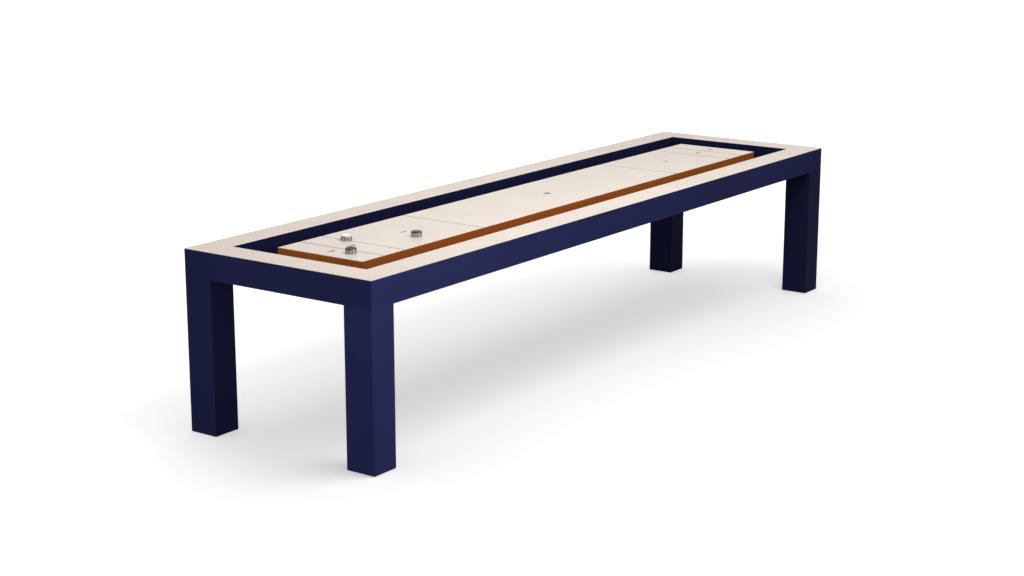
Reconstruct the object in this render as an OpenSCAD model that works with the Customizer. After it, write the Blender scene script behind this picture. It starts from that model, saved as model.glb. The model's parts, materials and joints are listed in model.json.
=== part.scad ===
// Shuffleboard table: a raised playing board in a gutter, inside a rectangular cabinet on four box legs.
// Millimetres. +X runs along the board, +Y across it, +Z up; the origin is on the floor under the centre.

/* [Playing board] */
// Length of the playing board
board_l = 3658; // [2700:1:4900]
// Width of the playing board
board_w = 508; // [480:1:520]
// Thickness of the glued wood slab
board_core_t = 74.5; // [60:0.5:74.5]
// Thickness of the playing surface sheet
surface_t = 1.5; // [0.8:0.1:2]
// How far the playing surface lies below the rail top
board_drop = 12; // [6:1:16]

/* [Cabinet] */
// Overall height from the floor to the rail top
table_h = 880; // [760:5:900]
// Depth of the cabinet, from its lower edge to the rail top
cabinet_h = 130; // [130:1:150]
// Width of the rail, outside to inside
rail_w = 154; // [148:1:180]
// Clear width of the gutter around the board
gutter_w = 147; // [130:1:170]
// Thickness of the outer aprons
apron_t = 18; // [15:1:22]
// Thickness of the gutter liners
liner_t = 15; // [12:1:18]
// Thickness of the rail boards
rail_core_t = 25; // [18:1:28]
// Thickness of the rail's top sheet
cap_t = 1.5; // [0.8:0.1:3]
// Thickness of the gutter floor
floor_t = 12; // [9:1:12]
// How far the gutter floor runs on under the board
floor_overlap = 60; // [40:1:70]
// Height of the cross bearers
bearer_h = 25; // [22:1:25]
// Width of the cross bearers
bearer_w = 90; // [70:1:110]

/* [Legs] */
// Leg size along the table
leg_x = 150; // [146:1:170]
// Leg size across the table
leg_y = 158; // [150:1:170]
// Thickness of the leg boards
leg_wall = 18; // [15:1:20]
// Gap between the leg and the floor
leg_gap = 3; // [2:1:6]
// Thickness of the block at the leg's top
leg_top_t = 35; // [30:1:45]
// Thickness of the block at the leg's foot
leg_foot_t = 27; // [26:1:40]

/* [Levellers] */
// Diameter of the foot pad
pad_d = 60; // [50:1:70]
// Thickness of the foot pad
pad_t = 8; // [7:1:8]
// Diameter of the screws in the legs
thread_d = 10; // [8:1:12]

/* [Climatic adjusters] */
// Length of a turnbuckle
turnbuckle_l = 110; // [90:1:130]
// Turnbuckle size across its flats
turnbuckle_flats = 19; // [17:1:22]
// Distance from the board's centre line to a bracket
bracket_y = 130; // [115:1:140]

/* [Pucks] */
// Diameter of a puck
puck_d = 54; // [53:0.1:58]
// Height of the steel weight
weight_h = 20; // [18:0.5:22]
// Height of the cap above the weight
cap_h = 4.5; // [3:0.5:6]

/* [Hidden] */
$fn = 64;

SIDES = ["front", "back", "left", "right"];
// Corner name, then its side of X and of Y
CORNERS = [
    ["front_left", -1, -1],
    ["front_right", 1, -1],
    ["back_left", -1, 1],
    ["back_right", 1, 1]
];
// Puck name, then where its centre stands on the board
PUCKS = [
    ["white", [-1521, 101]],
    ["black_near", [-1724, -99]],
    ["black_far", [-1262, -113]]
];
BEARERS = [1:5];
ADJUSTERS = [1:4];

// Colours
navy = [0.11, 0.13, 0.26];
cream = [0.90, 0.86, 0.81];
amber_wood = [0.58, 0.30, 0.10];
pale_wood = [0.82, 0.69, 0.50];
zinc = [0.72, 0.73, 0.75];
chrome = [0.85, 0.86, 0.88];
white = [0.95, 0.94, 0.92];
black = [0.08, 0.08, 0.09];

// Overall size
table_l = board_l + 2 * (gutter_w + rail_w);
table_w = board_w + 2 * (gutter_w + rail_w);
inner_x = table_l / 2 - rail_w;
inner_y = table_w / 2 - rail_w;

// Heights
cabinet_z = table_h - cabinet_h;
cap_z = table_h - cap_t;
rail_core_z = cap_z - rail_core_t;
board_top = table_h - board_drop;
surface_z = board_top - surface_t;
board_z = surface_z - board_core_t;
floor_z = cabinet_z + bearer_h;

// Corner of the beams, where the legs are bolted on
cavity_w = rail_w - apron_t - liner_t;
corner_x = table_l / 2 - apron_t - cavity_w / 2;
corner_y = table_w / 2 - apron_t - cavity_w / 2;
corner_block_t = 45;

// Blocks inside the legs
leg_top_z = cabinet_z - leg_top_t;
foot_block_z = leg_gap + 15;

// Floor and bearers
floor_w = gutter_w + floor_overlap;
bearer_pitch = 750;
cleat = 20;
board_pad_w = 60;

// Fasteners
hole_gap = 0.05;          // radial play of a running fit
insert_d = 14;
insert_l = 25;
bolt_l = 68;
bolt_pitch = 64;
hex_h = 7;
lag_d = 8;
lag_bite = 30;
lag_y = bracket_y;
lag_head_hole_d = 24;
lag_head_hole_h = 9;
screw_d = 5;

// Climatic adjusters
rod_d = 10;
rod_z = board_z - 20;
rod_in = turnbuckle_l / 2 - 35;
bracket_t = 4;
bracket_x = 40;
bracket_flange = 50;
bracket_ear = 12;         // reach of the ear below the rod
bracket_screw_y = bracket_y + 0.6 * bracket_flange;
nut_h = 8;
nut_flats = 17;
rod_out = bracket_y + bracket_t + nut_h + 12;

// Pucks stand this far above the sheet, on a dusting of board wax
wax_t = 0.3;

function bearer_x(i) = (i - 3) * bearer_pitch;
function adjuster_x(i) = (i - 2.5) * bearer_pitch;
function hex_circumscribed(flats) = flats / cos(30);

// Outline of one mitred side of a rectangular frame, l by w outside and t wide
function side_outline(side, l, w, t) =
    let (x = l / 2, y = w / 2)
    side == "front" ? [[-x, -y], [x, -y], [x - t, t - y], [t - x, t - y]]
    : side == "back" ? [[-x, y], [t - x, y - t], [x - t, y - t], [x, y]]
    : side == "left" ? [[-x, -y], [t - x, t - y], [t - x, y - t], [-x, y]]
    : [[x, -y], [x, y], [x - t, y - t], [x - t, t - y]];

module mitred_side(side, l, w, t, h) {
    linear_extrude(h) polygon(side_outline(side, l, w, t));
}

module at_leg(c) {
    translate([c[1] * (table_l - leg_x) / 2, c[2] * (table_w - leg_y) / 2, 0]) children();
}

// The four bolts that hold a leg
module at_leg_bolts(c) {
    for (i = [-1, 1], j = [-1, 1])
        translate([c[1] * corner_x + i * bolt_pitch / 2, c[2] * corner_y + j * bolt_pitch / 2, 0])
            children();
}

module at_bearer_screws() {
    for (i = BEARERS, s = [-1, 1]) translate([bearer_x(i), s * lag_y, 0]) children();
}

module along_y(l) {
    rotate([-90, 0, 0]) linear_extrude(l) children();
}

// ---- Cabinet ----

module apron(side) {
    color(navy) translate([0, 0, cabinet_z])
        mitred_side(side, table_l, table_w, apron_t, cabinet_h - cap_t);
}

module liner(side) {
    inset = 2 * (rail_w - liner_t);
    color(navy) translate([0, 0, cabinet_z])
        mitred_side(side, table_l - inset, table_w - inset, liner_t, cabinet_h - cap_t);
}

module rail_core(side) {
    color(pale_wood) translate([0, 0, rail_core_z])
        mitred_side(side, table_l - 2 * apron_t, table_w - 2 * apron_t, cavity_w, rail_core_t);
}

module rail_cap(side) {
    color(cream) translate([0, 0, cap_z])
        mitred_side(side, table_l, table_w, rail_w, cap_t);
}

// The long floors run the whole length; the end floors fit between them
module gutter_floor(side) {
    long = side == "front" || side == "back";
    s = side == "front" || side == "left" ? -1 : 1;
    size = long ? [2 * inner_x, floor_w] : [floor_w, 2 * (inner_y - floor_w)];
    at = long ? [0, s * (inner_y - floor_w / 2)] : [s * (inner_x - floor_w / 2), 0];
    color(navy) translate([at[0] - size[0] / 2, at[1] - size[1] / 2, floor_z])
        cube([size[0], size[1], floor_t]);
}

module bearer(i) {
    color(pale_wood) difference() {
        translate([bearer_x(i) - bearer_w / 2, -inner_y, cabinet_z])
            cube([bearer_w, 2 * inner_y, bearer_h]);
        at_bearer_screws() {
            translate([0, 0, cabinet_z - 1]) cylinder(d = lag_head_hole_d, h = lag_head_hole_h + 1);
            translate([0, 0, cabinet_z]) cylinder(d = lag_d + 1, h = bearer_h + 1);
        }
    }
}

// Strips under the gutter floor, cut to fit between the bearers
module floor_cleats() {
    z = floor_z - cleat;
    edges = concat(
        [-inner_x],
        [for (i = BEARERS, s = [-1, 1]) bearer_x(i) + s * bearer_w / 2],
        [inner_x]
    );
    color(pale_wood) {
        for (k = [0:2:len(edges) - 2], s = [-1, 1])
            translate([edges[k], s * (inner_y - cleat / 2) - cleat / 2, z])
                cube([edges[k + 1] - edges[k], cleat, cleat]);
        for (s = [-1, 1])
            translate([s * (inner_x - cleat / 2) - cleat / 2, cleat - inner_y, z])
                cube([cleat, 2 * (inner_y - cleat), cleat]);
    }
}

module corner_blocks() {
    color(pale_wood) for (c = CORNERS) difference() {
        translate([c[1] * corner_x - cavity_w / 2, c[2] * corner_y - cavity_w / 2, cabinet_z])
            cube([cavity_w, cavity_w, corner_block_t]);
        at_leg_bolts(c) translate([0, 0, cabinet_z - 1])
            cylinder(d = thread_d + 1, h = corner_block_t + 2);
    }
}

// ---- Legs ----

module leg(c) {
    color(navy) at_leg(c) difference() {
        translate([-leg_x / 2, -leg_y / 2, leg_gap]) cube([leg_x, leg_y, cabinet_z - leg_gap]);
        translate([leg_wall - leg_x / 2, leg_wall - leg_y / 2, leg_gap - 1])
            cube([leg_x - 2 * leg_wall, leg_y - 2 * leg_wall, cabinet_z - leg_gap + 2]);
    }
}

module leg_block(z, t) {
    translate([leg_wall - leg_x / 2, leg_wall - leg_y / 2, z])
        cube([leg_x - 2 * leg_wall, leg_y - 2 * leg_wall, t]);
}

// One block closes the leg's top and takes the bolts; one at the foot takes the leveller
module leg_blocks() {
    color(pale_wood) for (c = CORNERS) {
        difference() {
            at_leg(c) leg_block(leg_top_z, leg_top_t);
            at_leg_bolts(c) translate([0, 0, cabinet_z - insert_l])
                cylinder(d = insert_d, h = insert_l + 1);
        }
        at_leg(c) difference() {
            leg_block(foot_block_z, leg_foot_t);
            translate([0, 0, foot_block_z - 1]) cylinder(d = insert_d, h = leg_foot_t + 2);
        }
    }
}

module threaded_insert() {
    difference() {
        cylinder(d = insert_d, h = insert_l);
        translate([0, 0, -1]) cylinder(d = thread_d + 2 * hole_gap, h = insert_l + 2);
    }
}

module threaded_inserts() {
    color(zinc) for (c = CORNERS) {
        at_leg_bolts(c) translate([0, 0, cabinet_z - insert_l]) threaded_insert();
        at_leg(c) translate([0, 0, foot_block_z + leg_foot_t - insert_l]) threaded_insert();
    }
}

module leg_bolts() {
    z = cabinet_z + corner_block_t;
    color(zinc) for (c = CORNERS) at_leg_bolts(c) {
        translate([0, 0, z - bolt_l]) cylinder(d = thread_d, h = bolt_l + 1);
        translate([0, 0, z]) cylinder(d = 22, h = 2);
        translate([0, 0, z + 1]) cylinder(d = hex_circumscribed(nut_flats), h = hex_h, $fn = 6);
    }
}

// ---- Levellers ----

socket_depth = 5;

module leveller_pad(c) {
    r = pad_d / 2;
    rim = 3;
    neck_r = 12;
    color(black) at_leg(c) difference() {
        rotate_extrude() polygon([
            [0, 0], [r - 1, 0], [r, 1], [r, rim], [neck_r + 2, pad_t - 1], [neck_r, pad_t], [0, pad_t]
        ]);
        translate([0, 0, pad_t - socket_depth]) cylinder(d = thread_d + 2 * hole_gap, h = socket_depth + 1);
    }
}

module leveller_stem(c) {
    z = pad_t - socket_depth + hole_gap;
    top = foot_block_z + leg_foot_t + 30;
    color(zinc) at_leg(c) {
        translate([0, 0, z]) cylinder(d = thread_d, h = top - z - 1);
        translate([0, 0, top - 1]) cylinder(d1 = thread_d, d2 = thread_d - 2, h = 1);
        translate([0, 0, pad_t + 1]) cylinder(d = hex_circumscribed(nut_flats), h = hex_h, $fn = 6);
    }
}

// ---- Playing board ----

module board_core() {
    color(amber_wood) difference() {
        translate([-board_l / 2, -board_w / 2, board_z]) cube([board_l, board_w, board_core_t]);
        at_bearer_screws() translate([0, 0, board_z - 1])
            cylinder(d = lag_d + 2 * hole_gap, h = lag_bite + 2);
        for (i = ADJUSTERS) at_bracket_screws(i) translate([0, 0, board_z - 1])
            cylinder(d = screw_d + 2 * hole_gap, h = lag_bite + 2);
    }
}

module board_surface() {
    color(cream) translate([-board_l / 2, -board_w / 2, surface_z]) cube([board_l, board_w, surface_t]);
}

module board_pads() {
    z = floor_z;
    color(black) at_bearer_screws() difference() {
        translate([-bearer_w / 2, -board_pad_w / 2, z]) cube([bearer_w, board_pad_w, board_z - z]);
        translate([0, 0, z - 1]) cylinder(d = lag_d + 1, h = board_z - z + 2);
    }
}

module board_lag_screws() {
    z = cabinet_z + lag_head_hole_h;
    color(zinc) at_bearer_screws() {
        translate([0, 0, z - 1]) cylinder(d = lag_d, h = board_z - z + lag_bite + 1);
        translate([0, 0, z - 2]) cylinder(d = 20, h = 2);
        translate([0, 0, z - 7]) cylinder(d = hex_circumscribed(13), h = 6, $fn = 6);
    }
}

// ---- Climatic adjusters ----

module at_bracket_screws(i) {
    for (s = [-1, 1], t = [-1, 1])
        translate([adjuster_x(i) + t * bracket_x / 4, s * bracket_screw_y, 0]) children();
}

module adjuster_bracket() {
    difference() {
        union() {
            translate([-bracket_x / 2, bracket_y, board_z - bracket_t])
                cube([bracket_x, bracket_flange, bracket_t]);
            translate([-bracket_x / 2, bracket_y, rod_z - bracket_ear])
                cube([bracket_x, bracket_t, board_z - rod_z + bracket_ear]);
        }
        translate([0, bracket_y - 1, rod_z]) along_y(bracket_t + 2) circle(d = rod_d + 0.5);
        for (t = [-1, 1])
            translate([t * bracket_x / 4, bracket_screw_y, board_z - bracket_t - 1])
                cylinder(d = screw_d + 0.5, h = bracket_t + 2);
    }
}

module at_adjuster_ends() {
    for (i = ADJUSTERS, s = [0, 1]) translate([adjuster_x(i), 0, 0]) mirror([0, s, 0]) children();
}

module adjuster_brackets() {
    color(zinc) at_adjuster_ends() adjuster_bracket();
}

module adjuster_rods() {
    color(zinc) at_adjuster_ends()
        translate([0, rod_in, rod_z]) along_y(rod_out - rod_in) circle(d = rod_d);
}

// A nut each side of the bracket's ear
module adjuster_nuts() {
    color(zinc) at_adjuster_ends() for (y = [bracket_y - nut_h, bracket_y + bracket_t])
        translate([0, y, rod_z]) along_y(nut_h) difference() {
            circle(d = hex_circumscribed(nut_flats), $fn = 6);
            circle(d = rod_d + 2 * hole_gap);
        }
}

module adjuster_screws() {
    z = board_z - bracket_t;
    color(zinc) for (i = ADJUSTERS) at_bracket_screws(i) {
        translate([0, 0, z - 1]) cylinder(d = screw_d, h = lag_bite + bracket_t);
        translate([0, 0, z - 3]) cylinder(d1 = 6, d2 = 10, h = 3);
    }
}

module turnbuckle(i) {
    flats_l = turnbuckle_l - 20;
    color(zinc) translate([adjuster_x(i), 0, rod_z]) difference() {
        union() {
            translate([0, -flats_l / 2, 0]) along_y(flats_l)
                circle(d = hex_circumscribed(turnbuckle_flats), $fn = 6);
            translate([0, -turnbuckle_l / 2, 0]) along_y(turnbuckle_l) circle(d = turnbuckle_flats - 1);
        }
        translate([0, -turnbuckle_l / 2 - 1, 0]) along_y(turnbuckle_l + 2) circle(d = rod_d + 2 * hole_gap);
    }
}

// ---- Pucks ----

seat_r = puck_d / 2 - 6;
seat_depth = 5;

module at_puck(p) {
    translate([p[1][0], p[1][1], board_top + wax_t]) children();
}

module puck_weight(p) {
    r = puck_d / 2;
    edge = 2;
    color(chrome) at_puck(p) rotate_extrude() polygon([
        [0, 0], [r - edge, 0], [r, edge], [r, weight_h - edge], [r - edge, weight_h],
        [seat_r, weight_h], [seat_r, weight_h - seat_depth], [0, weight_h - seat_depth]
    ]);
}

// A plug that drops into the weight, a flange over its rim and a shallow dish on top
module puck_cap(p) {
    r = puck_d / 2 - 1.5;
    top = weight_h + cap_h;
    dish_r = seat_r - 3;
    plug_r = seat_r - hole_gap;
    edge = 1.5;
    dish = 1.2;
    color(p[0] == "white" ? white : black) at_puck(p) rotate_extrude() polygon([
        [0, weight_h - seat_depth], [plug_r, weight_h - seat_depth], [plug_r, weight_h], [r, weight_h],
        [r, top - edge], [r - edge, top], [dish_r, top], [dish_r - 2, top - dish], [0, top - dish]
    ]);
}

for (s = SIDES) {
    apron(s);
    liner(s);
    rail_core(s);
    rail_cap(s);
    gutter_floor(s);
}
for (i = BEARERS) bearer(i);
floor_cleats();
corner_blocks();
for (c = CORNERS) {
    leg(c);
    leveller_pad(c);
    leveller_stem(c);
}
leg_blocks();
threaded_inserts();
leg_bolts();
board_core();
board_surface();
board_pads();
board_lag_screws();
adjuster_brackets();
adjuster_rods();
adjuster_nuts();
adjuster_screws();
for (i = ADJUSTERS) turnbuckle(i);
for (p = PUCKS) {
    puck_weight(p);
    puck_cap(p);
}
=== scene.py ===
"""A twelve-foot shuffleboard table: its fine shapes and finishes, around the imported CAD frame.

Metres. +X runs along the board, +Y across it and +Z up. "front" is the -Y side and "left" the -X end.
"""

import json
import math

import bmesh
import bpy
from mathutils import Matrix, Vector


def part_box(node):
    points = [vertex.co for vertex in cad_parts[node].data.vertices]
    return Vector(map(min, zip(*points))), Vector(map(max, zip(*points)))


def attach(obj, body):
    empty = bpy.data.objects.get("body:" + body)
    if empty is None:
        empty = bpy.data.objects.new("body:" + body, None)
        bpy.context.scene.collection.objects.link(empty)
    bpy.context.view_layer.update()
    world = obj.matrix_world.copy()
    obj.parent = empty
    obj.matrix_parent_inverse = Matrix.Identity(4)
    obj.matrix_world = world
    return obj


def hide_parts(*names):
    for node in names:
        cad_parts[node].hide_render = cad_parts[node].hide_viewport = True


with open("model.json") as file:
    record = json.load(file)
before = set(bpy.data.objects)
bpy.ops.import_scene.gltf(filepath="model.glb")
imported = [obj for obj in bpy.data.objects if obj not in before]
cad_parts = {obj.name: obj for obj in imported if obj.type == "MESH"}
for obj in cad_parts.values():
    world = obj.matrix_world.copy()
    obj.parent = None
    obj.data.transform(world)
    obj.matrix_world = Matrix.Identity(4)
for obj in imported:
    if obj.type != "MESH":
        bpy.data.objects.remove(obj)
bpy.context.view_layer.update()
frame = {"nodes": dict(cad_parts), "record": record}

NODES = frame["nodes"]
BODY_OF = {
    node: body for body, nodes in frame["record"]["behaviour"]["bodies"].items() for node in nodes
}
SIDES = ("front", "back", "left", "right")
CORNERS = ("front_left", "front_right", "back_left", "back_right")
PUCKS = ("white", "black_near", "black_far")
TURNBUCKLES = range(1, 5)
BEARERS = range(1, 6)

MM = 0.001
INCH = 25.4 * MM
TURN = 2 * math.pi
SMOOTH_BELOW = math.radians(32)
UP, DOWN = (0.0, 0.0, 1.0), (0.0, 0.0, -1.0)


# ---------------------------------------------------------------- node trees


class Wire:
    """One output socket. Python's operators on it add Math nodes to its tree."""

    def __init__(self, graph, socket):
        self.graph = graph
        self.socket = socket

    def maths(self, operation, *terms):
        return self.graph.node(
            "ShaderNodeMath", {"operation": operation}, dict(enumerate(terms))
        )

    def __add__(self, other):
        return self.maths("ADD", self, other)

    def __sub__(self, other):
        return self.maths("SUBTRACT", self, other)

    def __rsub__(self, other):
        return self.maths("SUBTRACT", other, self)

    def __mul__(self, other):
        return self.maths("MULTIPLY", self, other)

    def __truediv__(self, other):
        return self.maths("DIVIDE", self, other)

    def __rtruediv__(self, other):
        return self.maths("DIVIDE", other, self)

    def __mod__(self, other):
        return self.maths("FLOORED_MODULO", self, other)

    def __pow__(self, other):
        return self.maths("POWER", self, other)

    def __gt__(self, other):
        return self.maths("GREATER_THAN", self, other)

    def __lt__(self, other):
        return self.maths("LESS_THAN", self, other)

    __radd__ = __add__
    __rmul__ = __mul__

    def apply(self, operation):
        return self.maths(operation, self)

    def ramp(self, low, high):
        """0 below low, 1 above high and smooth between them; low may be the larger."""
        return self.graph.node(
            "ShaderNodeMapRange",
            {"interpolation_type": "SMOOTHSTEP"},
            {"Value": self, "From Min": low, "From Max": high},
        )


class Graph:
    """A node tree under construction."""

    def __init__(self, tree):
        self.tree = tree

    def node(self, kind, settings=None, inputs=None, output=0):
        """Adds a node, its settings before its sockets, and returns one of its outputs."""
        made = self.tree.nodes.new(kind)
        for name, value in (settings or {}).items():
            setattr(made, name, value)
        for name, value in (inputs or {}).items():
            if isinstance(value, Wire):
                self.tree.links.new(value.socket, made.inputs[name])
            else:
                made.inputs[name].default_value = value
        return Wire(self, made.outputs[output])

    def vector(self, operation, *terms, output="Vector"):
        return self.node(
            "ShaderNodeVectorMath", {"operation": operation}, dict(enumerate(terms)), output
        )

    def parts(self, vector):
        """A vector's X, Y and Z."""
        return [self.node("ShaderNodeSeparateXYZ", None, {0: vector}, axis) for axis in "XYZ"]

    def joined(self, x, y, z):
        return self.node("ShaderNodeCombineXYZ", None, {0: x, 1: y, 2: z})


class Finish(Graph):
    """A procedural material: one shader and the nodes that feed it."""

    def __init__(self, name):
        self.material = bpy.data.materials.new(name)
        self.material.use_nodes = True
        super().__init__(self.material.node_tree)
        self.shader = self.tree.nodes["Principled BSDF"]
        self.place = self.node("ShaderNodeTexCoord", output="Object")

    def noise(self, at, scale, detail=2.0, roughness=0.5, output="Fac"):
        return self.node(
            "ShaderNodeTexNoise",
            None,
            {"Vector": at, "Scale": scale, "Detail": detail, "Roughness": roughness},
            output,
        )

    def stretched(self, at, scales):
        return self.vector("MULTIPLY", at, scales)

    def mix(self, share, first, second):
        first, second = (c if isinstance(c, Wire) else (*c, 1.0) for c in (first, second))
        return self.node(
            "ShaderNodeMix", {"data_type": "RGBA"}, {0: share, 6: first, 7: second}, 2
        )

    def bump(self, height, depth, below=None):
        """A relief whose height runs from 0 to 1 over depth, in metres."""
        sockets = {"Height": height, "Distance": depth, "Strength": 1.0}
        if below is not None:
            sockets["Normal"] = below
        return self.node("ShaderNodeBump", None, sockets, "Normal")

    def shade(self, sockets):
        for name, value in sockets.items():
            if isinstance(value, Wire):
                self.tree.links.new(value.socket, self.shader.inputs[name])
            else:
                self.shader.inputs[name].default_value = value
        return self.material


class Recipe(Graph):
    """A Geometry Nodes tree under construction. Its sizes are named inputs."""

    def __init__(self, name, sizes):
        super().__init__(bpy.data.node_groups.new(name, "GeometryNodeTree"))
        face = self.tree.interface
        face.new_socket("Places", in_out="INPUT", socket_type="NodeSocketGeometry")
        for size, value in sizes.items():
            face.new_socket(size, in_out="INPUT", socket_type="NodeSocketFloat").default_value = value
        face.new_socket("Finish", in_out="INPUT", socket_type="NodeSocketMaterial")
        face.new_socket("Pieces", in_out="OUTPUT", socket_type="NodeSocketGeometry")
        self.given = self.tree.nodes.new("NodeGroupInput")

    def size(self, name):
        return Wire(self, self.given.outputs[name])

    def together(self, *geometries):
        made = self.tree.nodes.new("GeometryNodeJoinGeometry")
        for geometry in geometries:
            self.tree.links.new(geometry.socket, made.inputs[0])
        return Wire(self, made.outputs[0])

    def moved(self, geometry, offset):
        return self.node("GeometryNodeTransform", None, {"Geometry": geometry, "Translation": offset})

    def cylinder(self, vertices, radius, depth, rows=1):
        """A closed cylinder about Z, centred on the origin, its side in that many rows of faces."""
        sockets = {"Vertices": vertices, "Side Segments": rows, "Radius": radius, "Depth": depth}
        return self.node("GeometryNodeMeshCylinder", None, sockets, "Mesh")

    def serve(self, shape):
        """Puts the shape at each place, along that place's own axis, and closes the tree."""
        axis = self.node(
            "GeometryNodeInputNamedAttribute", {"data_type": "FLOAT_VECTOR"}, {"Name": "axis"}
        )
        turn = self.node("FunctionNodeAlignRotationToVector", {"axis": "Z"}, {"Vector": axis})
        placed = self.node(
            "GeometryNodeInstanceOnPoints",
            None,
            {"Points": self.size("Places"), "Instance": shape, "Rotation": turn},
        )
        real = self.node("GeometryNodeRealizeInstances", None, {0: placed})
        done = self.node(
            "GeometryNodeSetMaterial", None, {"Geometry": real, "Material": self.size("Finish")}
        )
        out = self.tree.nodes.new("NodeGroupOutput")
        self.tree.links.new(done.socket, out.inputs[0])
        return self.tree


# ---------------------------------------------------------------- finishes


def scaled(tone, share):
    """A colour made lighter or darker, never past white."""
    return tuple(min(1.0, c * share) for c in tone)


def navy_lacquer():
    """Satin lacquer sprayed on smooth panels: slightly cloudy, with a faint orange peel."""
    f = Finish("navy_lacquer")
    deep, clear = (0.0088, 0.0112, 0.0450), (0.0115, 0.0140, 0.0540)
    bloomed, lighter_low_tone = (0.0135, 0.0166, 0.0576), (0.040, 0.044, 0.080)
    patches_from, patches_to = 0.11, 0.01
    cloud = f.noise(f.place, 1.3, 4.0, 0.55)
    drift = f.noise(f.place, 9.0, 3.0)
    peel = f.noise(f.place, 420.0, 1.0)
    _, _, height = f.parts(f.place)
    # Lighter, rougher patches near the floor: strongest at the very bottom and gone 11 cm up.
    low_patches = f.noise(f.stretched(f.place, (60.0, 60.0, 260.0)), 1.0, 4.0, 0.6).ramp(0.60, 0.78)
    low_patches = low_patches * height.ramp(patches_from, patches_to)
    colour = f.mix(cloud.ramp(0.3, 0.7), deep, clear)
    colour = f.mix(drift * 0.25, colour, bloomed)
    colour = f.mix(low_patches * 0.35, colour, lighter_low_tone)
    return f.shade({
        "Base Color": colour,
        "Roughness": 0.40 + cloud * 0.08 + drift * 0.06 + low_patches * 0.15,
        "Specular IOR Level": 0.04,
        "Normal": f.bump(peel, 0.012 * MM, f.bump(drift, 0.05 * MM)),
    })


def cream_laminate(name, tone, roughness):
    """A pressed laminate sheet: a fine fleck, broad soft mottling and a soft matt texture."""
    f = Finish(name)
    fleck = f.noise(f.place, 900.0, 2.0, 0.7)
    mottle = f.noise(f.place, 5.0, 4.0, 0.6)
    fibre = f.noise(f.stretched(f.place, (40.0, 260.0, 260.0)), 1.0, 3.0)
    darker = tuple(c * k for c, k in zip(tone, (0.955, 0.945, 0.93)))
    lighter = scaled(tone, 1.025)
    flecked = (0.56, 0.47, 0.39)
    colour = f.mix(mottle.ramp(0.25, 0.75), darker, lighter)
    colour = f.mix(fibre.ramp(0.55, 0.9) * 0.35, colour, darker)
    colour = f.mix(fleck.ramp(0.62, 0.80) * 0.30, colour, flecked)
    return f.shade({
        "Base Color": colour,
        "Roughness": roughness + mottle * 0.08 + fleck * 0.06,
        "Specular IOR Level": 0.30,
        "Normal": f.bump(fleck, 0.010 * MM, f.bump(mottle, 0.08 * MM)),
    })


def wood(name, grain, dark, light, ring_gap, roughness, stave=None, gloss=0.25):
    """Solid timber with its rings running along one axis, so that ends show end grain.

    stave is the width across Y of each glued strip, where the timber is glued up.
    """
    f = Finish(name)
    x, y, z = f.parts(f.place)
    along, across, up = {"X": (x, y, z), "Y": (y, z, x), "Z": (z, x, y)}[grain]
    strip = 0.0
    if stave:
        staves = across * 0.9995 / stave
        index = staves.apply("FLOOR")
        strip = f.node("ShaderNodeTexWhiteNoise", {"noise_dimensions": "1D"}, {"W": index}, "Value")
    offset = strip * 0.37
    plain = f.joined(along * 0.9 + offset * 40.0, across * 14.0, up * 14.0)
    wander = f.noise(plain, 1.0, 3.0)
    heart_a = across + offset + 0.063
    heart_b = up + offset * 0.7 - 0.31
    from_heart = (heart_a * heart_a + heart_b * heart_b).apply("SQRT")
    rings = ((from_heart + wander * 0.016) / ring_gap).apply("FRACT")
    late = rings.ramp(0.35, 0.95) * rings.ramp(1.0, 0.96)
    fibre = f.noise(f.joined(along * 18.0, across * 900.0, up * 900.0), 1.0, 3.0, 0.65)
    pore = f.noise(f.joined(along * 55.0, across * 1900.0, up * 1900.0), 1.0, 1.0).ramp(0.62, 0.74)
    cloud = f.noise(f.joined(along * 2.2, across * 9.0, up * 9.0), 1.0, 2.0)
    tone = late * 0.42 + fibre * 0.38 + cloud * 0.30 + strip * 0.28 - 0.20
    colour = f.mix(tone.ramp(0.0, 1.0), light, dark)
    colour = f.mix(pore * 0.30, colour, scaled(dark, 0.45))
    if stave:
        seam = (staves.apply("FRACT") - 0.5).apply("ABSOLUTE").ramp(0.480, 0.496)
        colour = f.mix(seam * 0.55, colour, scaled(dark, 0.35))
    return f.shade({
        "Base Color": colour,
        "Roughness": roughness + fibre * 0.10 + cloud * 0.05,
        "Specular IOR Level": gloss,
        "Normal": f.bump(fibre - pore * 0.6, 0.020 * MM, f.bump(late, 0.03 * MM)),
    })


def zinc_steel():
    """Bright zinc plating: a bluish, faintly yellow-clouded steel with fine drawing marks."""
    f = Finish("zinc_steel")
    dull, bright, yellowed = (0.50, 0.52, 0.56), (0.66, 0.67, 0.68), (0.52, 0.47, 0.36)
    cloud = f.noise(f.place, 45.0, 3.0)
    grit = f.noise(f.place, 1500.0, 2.0)
    stain = f.noise(f.place, 14.0, 4.0, 0.6).ramp(0.5, 0.8)
    colour = f.mix(cloud.ramp(0.3, 0.7), dull, bright)
    colour = f.mix(stain * 0.35, colour, yellowed)
    return f.shade({
        "Base Color": colour,
        "Metallic": 1.0,
        "Roughness": 0.28 + cloud * 0.14 + stain * 0.12,
        "Normal": f.bump(grit, 0.006 * MM),
    })


def black_moulding(name, tone, roughness, depth):
    """A dull moulding, such as hard rubber or nylon: a fine grain and pale handling dust."""
    f = Finish(name)
    dusty = (0.16, 0.155, 0.145)
    grain = f.noise(f.place, 700.0, 3.0, 0.6)
    dust = f.noise(f.place, 35.0, 4.0, 0.65).ramp(0.52, 0.85)
    colour = f.mix(grain, scaled(tone, 0.8), scaled(tone, 1.25))
    colour = f.mix(dust * 0.20, colour, dusty)
    return f.shade({
        "Base Color": colour,
        "Roughness": roughness + grain * 0.12 + dust * 0.10,
        "Specular IOR Level": 0.35,
        "Normal": f.bump(grain, depth),
    })


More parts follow.
